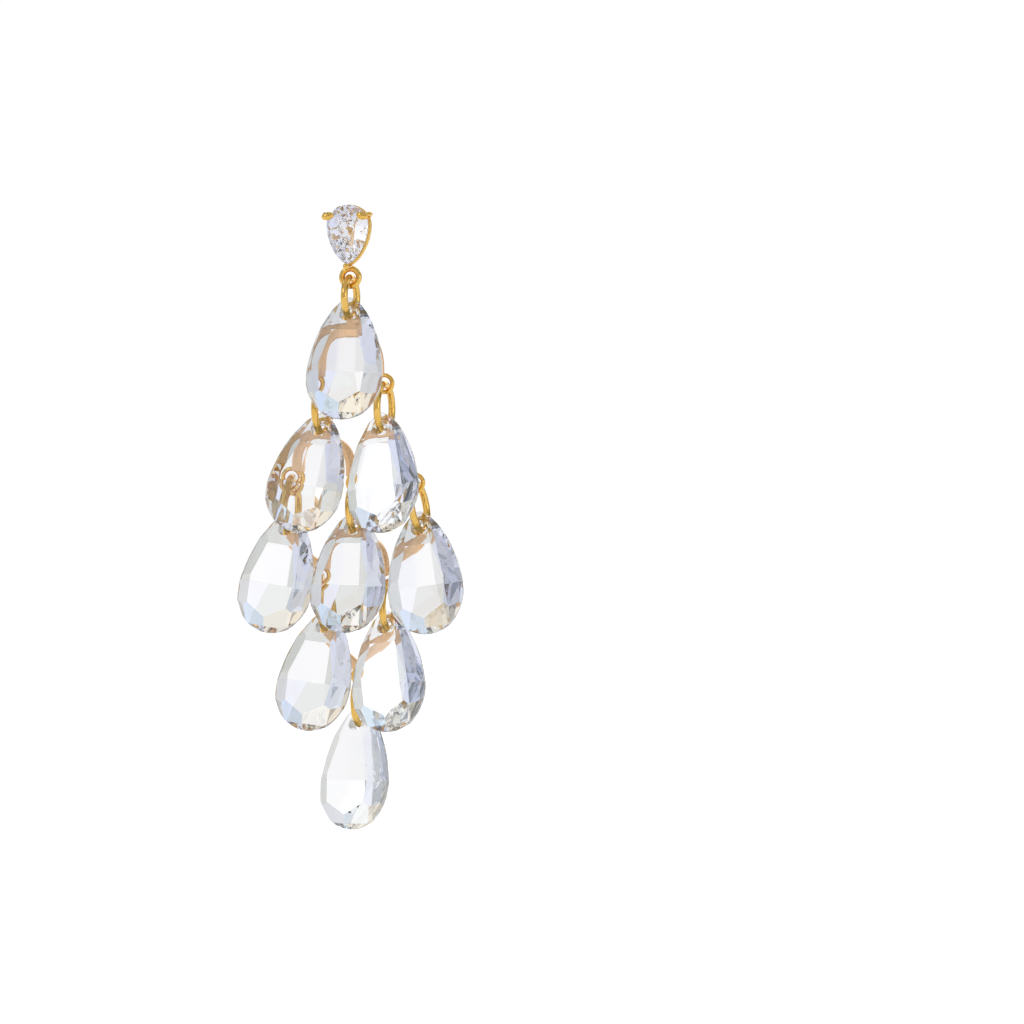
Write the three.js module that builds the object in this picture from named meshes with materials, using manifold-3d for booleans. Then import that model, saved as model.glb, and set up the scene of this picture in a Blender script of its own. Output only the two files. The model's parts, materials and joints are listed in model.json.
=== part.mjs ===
// A chandelier earring: a claw-set pear stone on an ear post, and under it nine faceted glass drops
// in rows of 1, 2, 3, 2 and 1. Jump rings join the rows, and each ring carries a drop in front and
// an arched gold connector behind, which reaches down to the next row's rings.
// Millimetres, +Z up, the front faces -Y. The origin is where the ear post meets the front of the lobe.

import * as THREE from "three";
import { mergeVertices } from "three/addons/utils/BufferGeometryUtils.js";
import Module from "manifold-3d";

// Clearances
const wireGap = 0.28; // between a jump ring's wire and the loop or hole that it passes through
const stoneGap = 0.29; // between the stud's stone and its setting
const meshTolerance = 0.004; // edges shorter than this are merged away

// Glass drops
const dropHeight = 16;
const dropWidth = 9.8;
const dropWidest = 0.66; // share of the height, down from the point
const dropGirdle = 0.45;
const dropCrown = 1.8;
const dropBack = 1.9;
const holeBelowTip = 2.5;
const holeRadius = 1;
const outlineQuarter = 8; // edges in each quarter of a pear's outline
const tableTop = 0.3; // shares of the height, down from the point
const ridgeAt = 0.6;
const kiteSlope = 24; // degrees: the four facets beside the ridge
const kiteTurn = 28; // degrees: they face this far above or below the level
const kiteApart = 0.25; // share of the width

// Tiers of facets round a drop: slope in degrees from the girdle, lift as a share of that side's depth
const dropTiers = [
  { side: -1, slope: 55, count: 14, lift: 0 },
  { side: -1, slope: 38, count: 8, lift: 0.125 },
  { side: 1, slope: 50, count: 14, lift: 0 },
  { side: 1, slope: 36, count: 8, lift: 0.125 },
];

// Jump rings and the loops that they pass through
const wire = 0.9;
const topRingRadius = 2.5; // to the middle of the wire
const ringRadius = 3.05;
const ringSides = 14;
const wireSides = 6;
const loopWire = 0.55;
const loopRoom = 0.07; // more room in a loop, since the ring passes through it at a slant
const loopRadius = wire / 2 + wireGap + loopRoom + loopWire / 2;

// Arched connectors
const bandWidth = 1.25;
const bandThickness = 0.7;
const solderStep = 0.03; // how far the faces of two soldered pieces lie apart
const columnPitch = 4.15;
const outerColumn = 7.9;
const firstNeck = 2.5; // from the middle of the top loop to the arch
const neck = 1.3;
const firstReach = 8.6; // from the middle of a connector's top loops to its foot loops
const reach = 6.53;
const lastReach = 6.1;
const bandInset = 0.6; // where a band meets a foot loop, as a share of the loop's radius
const archSteps = 10;
const archPower = 2 / 3; // of the sine and cosine along an arch: 1 is an ellipse, and less is squarer
const hangTurn = -5; // degrees: all that hangs is turned about the vertical, away from the stud's front
const hangTilt = 1.31; // degrees: the drop's lower end hangs back, since the glass weighs in front

// Places on a jump ring, in degrees round its middle from the lowest point
const loopBehind = 15;
const topLoopBehind = 19;

// Stud
const stoneWidth = 5.4;
const stoneHeight = 7.5;
const stoneGirdle = 0.25;
const stoneCrown = 0.9;
const stoneBack = 2.3; // room for the keel that its main back facets meet in
const stoneRise = 1.1; // of its widest place above the ear post
const stoneBreak = 38; // degrees from the girdle: its steepest crown facets
const stonePavilion = 50; // degrees: its steepest back facets
const stoneTiers = [
  { side: -1, slope: stoneBreak, count: 16, lift: 0 },
  { side: -1, slope: 28, count: 8, lift: 0 },
  { side: -1, slope: 18, count: 10, lift: 0.4 },
  { side: 1, slope: stonePavilion, count: 16, lift: 0 },
  { side: 1, slope: 38, count: 10, lift: 0 },
];
const girdleY = -3.0;
const plateThickness = 0.5;
const plateShare = 0.62; // of the stone's size
const railWall = 0.5;
const railProud = 0.1; // outside the stone's outline
const railHeight = 0.7;
const clawRadius = 0.27;
const clawTip = 0.8; // half the length of a claw's end, from the stone's edge inward
const clawTipWide = 0.5; // half its width
const clawTipDepth = 0.36;
const clawIn = 0.2; // its middle inside the stone's outline
const pointClawTip = 0.42; // radius of the end of the claw at the point
const pointClawOut = 0.35; // its middle outside the stone's outline
const clawRise = 12; // how far the ends of the two upper claws rise inward
const clawAngle = 26; // degrees above the level of the stone's widest place
const postRadius = 0.4;
const postLength = 8.2;
const studRingWire = 0.75;
const studRingRadius = 1.1;
const studRingY = -1.35;

const rad = THREE.MathUtils.degToRad;
const wasm = await Module();
wasm.setup();

// Metal and glass
const gold = new THREE.MeshStandardMaterial({ color: 0xe2b552, roughness: 0.18, metalness: 1 });
const glass = new THREE.MeshStandardMaterial({ color: 0xeef2f8, roughness: 0.03, metalness: 0 });
const zircon = new THREE.MeshStandardMaterial({ color: 0xe6e6ee, roughness: 0.02, metalness: 0 });

// Turns a closed three.js geometry into a solid that can be joined and cut.
function solidOf(geometry) {
  const bare = geometry.clone();
  for (const name of Object.keys(bare.attributes)) {
    if (name !== "position") bare.deleteAttribute(name);
  }
  const merged = mergeVertices(bare, 1e-5);
  return new wasm.Manifold(
    new wasm.Mesh({
      numProp: 3,
      vertProperties: new Float32Array(merged.attributes.position.array),
      triVerts: new Uint32Array(merged.index.array),
    }),
  );
}

// Turns a solid back into a three.js geometry.
function geometryOf(solid) {
  const mesh = solid.simplify(meshTolerance).getMesh();
  const geometry = new THREE.BufferGeometry();
  geometry.setAttribute("position", new THREE.BufferAttribute(mesh.vertProperties, 3));
  geometry.setIndex(new THREE.BufferAttribute(mesh.triVerts, 1));
  return geometry;
}

function joined(geometries) {
  return geometries.map(solidOf).reduce((all, next) => all.add(next));
}

function namedMesh(name, geometry, material) {
  const mesh = new THREE.Mesh(geometry, material);
  mesh.name = name;
  return mesh;
}

// A pear's outline in the XZ plane, point up at z = 0 and round end at z = -height, as corners that
// start at the point and run round. The round end is half an ellipse, and the flanks narrow to a
// blunt point as a superellipse does.
function pearOutline(width, height, widest, quarterSides) {
  const right = [];
  for (let i = 0; i < quarterSides; i++) {
    const angle = (Math.PI / 2) * (1 - i / quarterSides);
    const share = widest * (1 - Math.sin(angle) ** (10 / 9));
    right.push([(width / 2) * Math.cos(angle) ** 1.3, -height * share]);
  }
  for (let i = 0; i <= quarterSides; i++) {
    const angle = (Math.PI / 2) * (i / quarterSides);
    const share = widest + (1 - widest) * Math.sin(angle);
    right.push([(width / 2) * Math.cos(angle), -height * share]);
  }
  right[0][0] = 0;
  right[right.length - 1][0] = 0;
  const left = right.slice(1, -1).reverse();
  return [...right, ...left.map(([x, z]) => [-x, z])].map(([x, z]) => new THREE.Vector2(x, z));
}

// A flat slab of an outline in the XZ plane, from y = front to y = back.
function slab(outline, front, back, hole) {
  const shape = new THREE.Shape(outline);
  if (hole) shape.holes.push(new THREE.Path([...hole].reverse()));
  const geometry = new THREE.ExtrudeGeometry(shape, { depth: back - front, bevelEnabled: false });
  return geometry.rotateX(Math.PI / 2).translate(0, back, 0);
}

// Grinds one flat facet: what lies beyond the plane through place, facing outward, is cut away.
function ground(solid, place, outward) {
  const normal = outward.clone().normalize();
  return solid.trimByPlane([-normal.x, -normal.y, -normal.z], -normal.dot(place));
}

// A facet's direction: it leaves the girdle along level, a unit vector in the XZ plane, and rises
// towards the middle at slope degrees, on the front (side -1) or the back (side 1).
function facing(level, slope, side) {
  return new THREE.Vector3(
    level.x * Math.sin(rad(slope)),
    side * Math.cos(rad(slope)),
    level.y * Math.sin(rad(slope)),
  );
}

// The place at a share of the way round an outline, and the outward direction of the edge there.
function placeOn(outline, share) {
  const edges = outline.map((from, i) => [from, outline[(i + 1) % outline.length]]);
  const lengths = edges.map(([from, to]) => from.distanceTo(to));
  let left = share * lengths.reduce((all, next) => all + next);
  let i = 0;
  while (left > lengths[i]) {
    left -= lengths[i];
    i += 1;
  }
  const [from, to] = edges[i];
  const away = new THREE.Vector2(from.y - to.y, to.x - from.x).normalize();
  return { corner: from.clone().lerp(to, left / lengths[i]), away };
}

// A cut stone before its last facets: a slab of the outline, ground in tiers of facets at even
// distances round the girdle.
function tieredStone(outline, { girdle, front, back, tiers }) {
  const half = girdle / 2;
  let solid = solidOf(slab(outline, -half - front, half + back));
  for (const { side, slope, count, lift } of tiers) {
    const level = half + lift * (side < 0 ? front : back);
    for (let i = 0; i < count; i++) {
      const { corner, away } = placeOn(outline, (i + 0.5) / count);
      const place = new THREE.Vector3(corner.x, side * level, corner.y);
      solid = ground(solid, place, facing(away, slope, side));
    }
  }
  return solid;
}

// A drop, with its hole at the origin and its point up: a flat table in front, with a long facet
// from the point to the table, and at the back broad facets that meet on a level ridge.
function glassDrop() {
  const outline = pearOutline(dropWidth, dropHeight, dropWidest, outlineQuarter);
  const half = dropGirdle / 2;
  const sizes = { girdle: dropGirdle, front: dropCrown, back: dropBack, tiers: dropTiers };
  let solid = tieredStone(outline, sizes);

  const tip = new THREE.Vector3(0, -half, 0);
  const tableSlope = THREE.MathUtils.radToDeg(Math.atan2(dropCrown, tableTop * dropHeight));
  solid = ground(solid, tip, facing(new THREE.Vector2(0, 1), tableSlope, -1));

  const ridge = new THREE.Vector3(0, half + dropBack, -ridgeAt * dropHeight);
  const upSlope = THREE.MathUtils.radToDeg(Math.atan2(dropBack, ridgeAt * dropHeight));
  const downSlope = THREE.MathUtils.radToDeg(Math.atan2(dropBack, (1 - ridgeAt) * dropHeight));
  solid = ground(solid, ridge, facing(new THREE.Vector2(0, 1), upSlope, 1));
  solid = ground(solid, ridge, facing(new THREE.Vector2(0, -1), downSlope, 1));
  for (const across of [-1, 1]) {
    for (const up of [-1, 1]) {
      const place = ridge.clone().setX((across * kiteApart * dropWidth) / 2);
      const turn = rad(up * kiteTurn);
      const away = new THREE.Vector2(across * Math.cos(turn), Math.sin(turn));
      solid = ground(solid, place, facing(away, kiteSlope, 1));
    }
  }

  const depth = 2 * (dropGirdle + dropCrown + dropBack);
  const bore = new THREE.CylinderGeometry(holeRadius, holeRadius, depth, 12);
  bore.translate(0, 0, -holeBelowTip);
  solid = solid.subtract(solidOf(bore));
  return geometryOf(solid).translate(0, 0, holeBelowTip);
}

// The stud's stone, point down, with its widest place over the post and its girdle at y = 0.
function studStone() {
  const outline = pearOutline(stoneWidth, stoneHeight, dropWidest, outlineQuarter);
  const sizes = { girdle: stoneGirdle, front: stoneCrown, back: stoneBack, tiers: stoneTiers };
  const geometry = geometryOf(tieredStone(outline, sizes));
  geometry.translate(0, 0, dropWidest * stoneHeight);
  return geometry.rotateY(Math.PI).translate(0, 0, stoneRise);
}

// A round wire ring with its middle at the origin, its axis along X or Y.
function wireRing(radius, wireDiameter, axis) {
  const geometry = new THREE.TorusGeometry(radius, wireDiameter / 2, wireSides, ringSides);
  return axis === "x" ? geometry.rotateY(Math.PI / 2) : geometry.rotateX(Math.PI / 2);
}

// The middle line of a band, in a plane of constant y. An arch is a quarter of a squared ellipse that
// leaves its top end level, and a fall is half a cosine wave that is upright at both ends.
class BandLine extends THREE.Curve {
  constructor(top, foot, arching) {
    super();
    Object.assign(this, { top, foot, arching });
  }
  getPoint(t, target = new THREE.Vector3()) {
    const angle = (t * Math.PI) / 2;
    const across = this.arching ? Math.sin(angle) ** archPower : (1 - Math.cos(2 * angle)) / 2;
    const down = this.arching ? 1 - Math.max(Math.cos(angle), 0) ** archPower : t;
    return target.set(
      this.top.x + (this.foot.x - this.top.x) * across,
      this.top.y,
      this.top.z + (this.foot.z - this.top.z) * down,
    );
  }
}

// A band's section: thickness by width, with its four edges taken off.
function bandSection(thickness) {
  const x = thickness / 2;
  const y = bandWidth / 2;
  const edge = thickness * 0.3;
  return new THREE.Shape([
    new THREE.Vector2(-x + edge, -y),
    new THREE.Vector2(x - edge, -y),
    new THREE.Vector2(x, -y + edge),
    new THREE.Vector2(x, y - edge),
    new THREE.Vector2(x - edge, y),
    new THREE.Vector2(-x + edge, y),
    new THREE.Vector2(-x, y - edge),
    new THREE.Vector2(-x, -y + edge),
  ]);
}

function band(top, foot, arching, thickness) {
  const extrudePath = new BandLine(top, foot, arching);
  return new THREE.ExtrudeGeometry(bandSection(thickness), {
    steps: archSteps,
    extrudePath,
    bevelEnabled: false,
  });
}

// A connector: a loop at each top and foot, a short stem under each top, and a band from the stem
// to each foot that the top's list names. Each top's bands are a solder step thinner and lower than
// those of the top before it.
function connector({ tops, feet, neckLength }) {
  const solids = [...tops.map(({ place }) => place), ...feet].map((place) =>
    wireRing(loopRadius, loopWire, "y").translate(place.x, place.y, place.z),
  );
  tops.forEach(({ place, arches, falls }, index) => {
    const thickness = bandThickness - 2 * solderStep * index;
    const stemTop = place.z - loopRadius;
    const stemFoot = place.z - neckLength;
    const length = stemTop - stemFoot + bandWidth / 2 + solderStep;
    const stem = new THREE.BoxGeometry(bandWidth, bandThickness + 2 * solderStep, length);
    stem.translate(place.x, place.y, stemTop - length / 2);
    solids.push(stem);
    for (const foot of [...arches, ...falls]) {
      const arching = arches.includes(foot);
      const away = arching ? Math.sign(place.x - feet[foot].x) * solderStep : 0;
      const start = new THREE.Vector3(place.x + away, place.y, stemFoot);
      const inset = Math.sign(place.x - feet[foot].x) * bandInset * loopRadius;
      const endZ = feet[foot].z + loopRadius * Math.sqrt(1 - bandInset ** 2) - solderStep * index;
      const end = new THREE.Vector3(feet[foot].x + inset, place.y, endZ);
      solids.push(band(start, end, arching, thickness));
    }
  });
  return geometryOf(joined(solids));
}

// Where a jump ring hangs in a loop: its middle lies below the loop's by less than its radius when
// the wires keep their gap. It swings outward round the loop's middle by splay degrees.
function hungRing(loop, radius, loopSize, splay) {
  const wireRise = (wire + loopSize.wire) / 2 + wireGap;
  const below = radius + loopSize.radius - wireRise;
  const down = new THREE.Vector3(Math.sin(rad(splay)), 0, -Math.cos(rad(splay)));
  const middle = loop.clone().addScaledVector(down, below);
  const at = (behind) =>
    middle
      .clone()
      .addScaledVector(down, radius * Math.cos(rad(behind)))
      .add(new THREE.Vector3(0, radius * Math.sin(rad(behind)), 0));
  return { middle, splay, at };
}

function ringMesh(name, ring, radius) {
  const mesh = namedMesh(name, wireRing(radius, wire, "x"), gold);
  mesh.position.copy(ring.middle);
  mesh.rotation.y = -rad(ring.splay);
  return mesh;
}

// A drop on its ring: lean tips its round end forward, splay swings it outward, and turn spins it
// round its own height, all in degrees.
function dropMesh(name, ring, { lean, splay, turn }) {
  const mesh = namedMesh(name, glassDrop(), glass);
  mesh.position.copy(ring.at(-lean));
  mesh.rotation.set(-rad(lean), -rad(splay), rad(turn), "YXZ");
  return mesh;
}

// The stud: plate, rail, three claws, ear post and the ring below, cast as one.
function studSetting() {
  const pear = (grow) =>
    pearOutline(stoneWidth + 2 * grow, stoneHeight + 2 * grow, dropWidest, 6)
      .map(({ x, y }) => new THREE.Vector2(x, -y - dropWidest * (stoneHeight + 2 * grow)))
      .reverse();
  const scaled = (outline, share) => outline.map((corner) => corner.clone().multiplyScalar(share));
  const half = stoneGirdle / 2;
  const railDepth = (railWall - railProud) * Math.tan(rad(stonePavilion));
  const railFront = girdleY + half + railDepth + stoneGap / Math.cos(rad(stonePavilion));
  const railBack = railFront + railHeight;
  const solids = [
    slab(scaled(pear(0), plateShare), -plateThickness, 0),
    slab(pear(railProud), railFront, railBack, pear(railProud - railWall)),
  ];

  const roundEnd = (angle) =>
    new THREE.Vector2(
      (stoneWidth / 2) * Math.cos(rad(angle)),
      (1 - dropWidest) * stoneHeight * Math.sin(rad(angle)),
    );
  const point = new THREE.Vector2(0, -dropWidest * stoneHeight);
  const section = new THREE.Shape(
    [0, 1, 2, 3, 4, 5].map(
      (i) =>
        new THREE.Vector2(
          clawRadius * Math.cos((i * Math.PI) / 3),
          clawRadius * Math.sin((i * Math.PI) / 3),
        ),
    ),
  );
  const slope = rad(stoneBreak);
  const upper = { inside: clawIn, long: clawTip, wide: clawTipWide };
  const lower = { inside: -pointClawOut, long: pointClawTip, wide: pointClawTip };
  const claws = [
    { spot: roundEnd(clawAngle), tipTurn: clawRise, ...upper },
    { spot: roundEnd(180 - clawAngle), tipTurn: -clawRise, ...upper },
    { spot: point, tipTurn: 0, ...lower },
  ];
  for (const { spot, tipTurn, inside, long, wide } of claws) {
    const spread = Math.hypot(long * Math.sin(slope), clawTipDepth * Math.cos(slope));
    const tipReach = (spread + stoneGap + inside * Math.sin(slope)) / Math.cos(slope);
    const tipY = girdleY - half - tipReach;
    const outward = spot.clone().normalize();
    const side = spot.clone().addScaledVector(outward, stoneGap + clawRadius);
    const over = spot.clone().addScaledVector(outward, -inside);
    const root = spot.clone().multiplyScalar(plateShare * 0.85);
    const route = new THREE.CatmullRomCurve3([
      new THREE.Vector3(root.x, -plateThickness / 2, root.y),
      new THREE.Vector3(spot.x, railBack, spot.y),
      new THREE.Vector3(side.x, girdleY, side.y),
      new THREE.Vector3(over.x, tipY, over.y),
    ]);
    solids.push(
      new THREE.ExtrudeGeometry(section, { steps: 8, extrudePath: route, bevelEnabled: false }),
    );
    const tip = new THREE.SphereGeometry(long, 12, 8);
    tip.scale(1, clawTipDepth / long, wide / long);
    tip.rotateY(rad(tipTurn)).translate(over.x, tipY, over.y);
    solids.push(tip);
  }
  for (const solid of solids) solid.translate(0, 0, stoneRise);

  const post = new THREE.LatheGeometry(
    [
      new THREE.Vector2(0, -plateThickness / 2),
      new THREE.Vector2(postRadius, -plateThickness / 2),
      new THREE.Vector2(postRadius, postLength - postRadius / 2),
      new THREE.Vector2(postRadius / 2, postLength),
      new THREE.Vector2(0, postLength),
    ],
    12,
  );
  const ring = wireRing(studRingRadius, studRingWire, "y");
  solids.push(post, ring.translate(0, studRingY, studRingZ));
  return geometryOf(joined(solids));
}

const pointZ = stoneRise - dropWidest * stoneHeight;
const studRingZ = pointZ - stoneGap - clawRadius - studRingRadius;
const studLoop = new THREE.Vector3(0, studRingY, studRingZ);

// How each drop hangs, in degrees
const hanging = {
  crystal_1: { lean: 15.5, splay: 0, turn: 6 },
  crystal_2: { lean: 19, splay: -10, turn: 4 },
  crystal_3: { lean: 19, splay: 7, turn: -7 },
  crystal_4: { lean: 14, splay: -9, turn: -1 },
  crystal_5: { lean: 19, splay: 0, turn: 2 },
  crystal_6: { lean: 14, splay: 9, turn: 4 },
  crystal_7: { lean: 18, splay: -7, turn: -1 },
  crystal_8: { lean: 18, splay: 7, turn: -2 },
  crystal_9: { lean: 12, splay: -2, turn: -12 },
};

// The rows below the first: which drops hang there, where their loops are, how far their rings swing
// outward in degrees, and which loops each top of the connector reaches with arches or falls.
const rows = [
  {
    drops: [2, 3],
    feet: [-columnPitch, columnPitch],
    arms: [{ arches: [0, 1], falls: [] }],
    ringSplay: [0, 0],
    connector: { name: "connector_1", neckLength: firstNeck, length: firstReach, behind: topLoopBehind },
  },
  {
    drops: [4, 5, 6],
    feet: [-outerColumn, 0, outerColumn],
    arms: [
      { arches: [0, 1], falls: [] },
      { arches: [1, 2], falls: [] },
    ],
    ringSplay: [-9, 0, 9],
    connector: { name: "connector_2", neckLength: neck, length: reach, behind: loopBehind },
  },
  {
    drops: [7, 8],
    feet: [-columnPitch, columnPitch],
    arms: [
      { arches: [], falls: [0] },
      { arches: [0, 1], falls: [] },
      { arches: [], falls: [1] },
    ],
    ringSplay: [0, 0],
    connector: { name: "connector_3", neckLength: neck, length: reach, behind: loopBehind },
  },
  {
    drops: [9],
    feet: [0],
    arms: [
      { arches: [], falls: [0] },
      { arches: [], falls: [0] },
    ],
    ringSplay: [0],
    connector: { name: "connector_4", neckLength: neck, length: lastReach, behind: loopBehind },
  },
];

const earring = new THREE.Group();
earring.add(namedMesh("stud_setting", studSetting(), gold));
const stone = namedMesh("stud_stone", studStone(), zircon);
stone.position.y = girdleY;
earring.add(stone);

// Everything below the stud hangs from its ring's lower wire, tilted as one.
const pivot = studLoop.clone().add(new THREE.Vector3(0, 0, -studRingRadius));
const hangingPart = new THREE.Group();
hangingPart.position.copy(pivot);
hangingPart.rotation.set(rad(hangTilt), 0, rad(hangTurn), "ZXY");
earring.add(hangingPart);

const loopFromPivot = new THREE.Vector3(0, 0, studRingRadius);
const studLoopSize = { radius: studRingRadius, wire: studRingWire };
const loopSize = { radius: loopRadius, wire: loopWire };
const topRing = hungRing(loopFromPivot, topRingRadius, studLoopSize, 0);
hangingPart.add(ringMesh("top_ring", topRing, topRingRadius));
hangingPart.add(dropMesh("crystal_1", topRing, hanging.crystal_1));

let carriers = [topRing];
for (const { drops, feet, arms, ringSplay, connector: link } of rows) {
  const tops = carriers.map((ring, i) => ({ place: ring.at(link.behind), ...arms[i] }));
  const { y, z } = tops[0].place;
  const ends = feet.map((x) => new THREE.Vector3(x, y, z - link.length));
  const geometry = connector({ tops, feet: ends, neckLength: link.neckLength });
  hangingPart.add(namedMesh(link.name, geometry, gold));
  carriers = ends.map((end, i) => hungRing(end, ringRadius, loopSize, ringSplay[i]));
  carriers.forEach((ring, i) => {
    const name = `crystal_${drops[i]}`;
    hangingPart.add(ringMesh(`drop_ring_${drops[i]}`, ring, ringRadius));
    hangingPart.add(dropMesh(name, ring, hanging[name]));
  });
}

export default earring;
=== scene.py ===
# A chandelier earring: nine cut glass drops on gold-plated jump rings and arched connectors, under
# a claw-set pear stone on an ear post. Laid out as an add-on, and run as a script.

import json
import math

import bpy
import numpy as np
from bpy.props import FloatProperty, IntProperty, PointerProperty, StringProperty
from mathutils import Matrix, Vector

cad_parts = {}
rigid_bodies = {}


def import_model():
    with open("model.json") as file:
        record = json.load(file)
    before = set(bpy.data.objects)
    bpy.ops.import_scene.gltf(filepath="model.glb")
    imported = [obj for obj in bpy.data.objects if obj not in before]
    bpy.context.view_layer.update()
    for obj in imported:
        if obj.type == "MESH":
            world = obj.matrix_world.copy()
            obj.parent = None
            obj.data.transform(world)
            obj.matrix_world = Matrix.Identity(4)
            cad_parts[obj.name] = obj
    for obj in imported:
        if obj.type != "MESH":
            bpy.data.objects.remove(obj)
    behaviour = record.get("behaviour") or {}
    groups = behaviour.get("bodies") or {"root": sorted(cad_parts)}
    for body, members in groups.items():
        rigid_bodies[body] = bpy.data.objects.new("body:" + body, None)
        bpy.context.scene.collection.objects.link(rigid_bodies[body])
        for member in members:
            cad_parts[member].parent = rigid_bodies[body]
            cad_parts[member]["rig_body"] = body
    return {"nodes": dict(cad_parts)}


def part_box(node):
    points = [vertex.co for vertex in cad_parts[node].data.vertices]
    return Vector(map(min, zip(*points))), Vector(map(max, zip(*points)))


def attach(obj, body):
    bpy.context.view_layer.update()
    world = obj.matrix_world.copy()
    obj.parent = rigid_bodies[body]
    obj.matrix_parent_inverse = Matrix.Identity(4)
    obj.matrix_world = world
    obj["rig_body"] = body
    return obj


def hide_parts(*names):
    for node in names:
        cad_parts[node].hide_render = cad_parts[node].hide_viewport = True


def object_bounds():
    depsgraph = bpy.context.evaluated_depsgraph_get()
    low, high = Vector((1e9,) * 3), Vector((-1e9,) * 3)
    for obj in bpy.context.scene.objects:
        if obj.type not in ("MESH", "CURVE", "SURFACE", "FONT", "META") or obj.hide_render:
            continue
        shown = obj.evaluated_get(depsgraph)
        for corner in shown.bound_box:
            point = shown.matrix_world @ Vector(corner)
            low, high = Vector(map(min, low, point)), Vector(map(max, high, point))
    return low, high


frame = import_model()
cad_low, cad_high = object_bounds()

bl_info = {
    "name": "Chandelier earring",
    "version": (1, 0, 0),
    "blender": (4, 5, 0),
    "location": "3D View > Sidebar > Earring",
    "description": "Builds the metal and the cut glass of a chandelier earring round its frame",
    "category": "Add Mesh",
}

MM = 0.001

# The row of rings that each connector hangs from, and the row that hangs from it.
CONNECTORS = {
    "connector_1": (["top_ring"], ["drop_ring_2", "drop_ring_3"]),
    "connector_2": (["drop_ring_2", "drop_ring_3"], ["drop_ring_4", "drop_ring_5", "drop_ring_6"]),
    "connector_3": (["drop_ring_4", "drop_ring_5", "drop_ring_6"], ["drop_ring_7", "drop_ring_8"]),
    "connector_4": (["drop_ring_7", "drop_ring_8"], ["drop_ring_9"]),
}
RINGS = ["top_ring"] + [f"drop_ring_{i}" for i in range(2, 10)]

# Shape numbers without a unit
PEAR_WIDTH_POWER = 1.3  # of the cosine, for a pear's width above its widest place
PEAR_HEIGHT_POWER = 10 / 9  # of the sine, for the height of that place
SECTION_POWER = 0.45  # of a rounded rectangle, where 1 would be an ellipse
POLE = 0.02  # angle that a ball's first and last sections keep off its poles
PLATE_RIM = 0.08  # how far the plate's edge is rounded in, as a share of the stone
CLAW_ROOT = 0.85  # where a claw leaves the plate, as a share of the way to its edge
ARM_REACH = 1.2  # a foot further off than this many pitches has no band to a top
PIN_ROOT = 0.2  # radius of the ear post's hidden end, as a share of the post's
PIN_TIP = 0.02  # radius at which its rounded end closes, as a share of the post's

# Look numbers without a unit
GLASS_IOR, ZIRCONIA_IOR, COATING_IOR = 1.54, 2.15, 1.6
COATING = 380.0  # thickness of the drops' coating in nanometres
# A facet's slant is read from the square of how far it faces front or back.
TINT_NONE, TINT_FULL = 0.93, 0.8  # slants between which a facet takes its tint
RIM_NONE, RIM_FULL = 0.12, 0.07  # slants between which the painted grey edge shade begins
SIDE_TURN = 0.2  # facing at which the front's tint gives way to the back's
BACK_TINT = 0.35  # strength of the tint on the back
TINT_STRAY = 0.1  # how far round a tint may stray, as a share of a turn
CARD_PATTERN = {"Scale": 1.1, "Distortion": 2.0, "Detail": 0.0}
FLANK_NONE, FLANK_FULL = 0.5, 0.9  # how far aside the surround begins and ends to darken


# Sizes and colours


def size(name, default, description):
    """A length property in metres, given in millimetres."""
    return FloatProperty(
        name=name,
        description=description,
        default=default * MM,
        min=0.0,
        unit="LENGTH",
        precision=5,
    )


def angle(name, default, description):
    """An angle property, given in degrees."""
    return FloatProperty(
        name=name, description=description, default=math.radians(default), unit="ROTATION"
    )


def number(name, default, description):
    """A property without a unit."""
    return FloatProperty(name=name, description=description, default=default)


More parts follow.
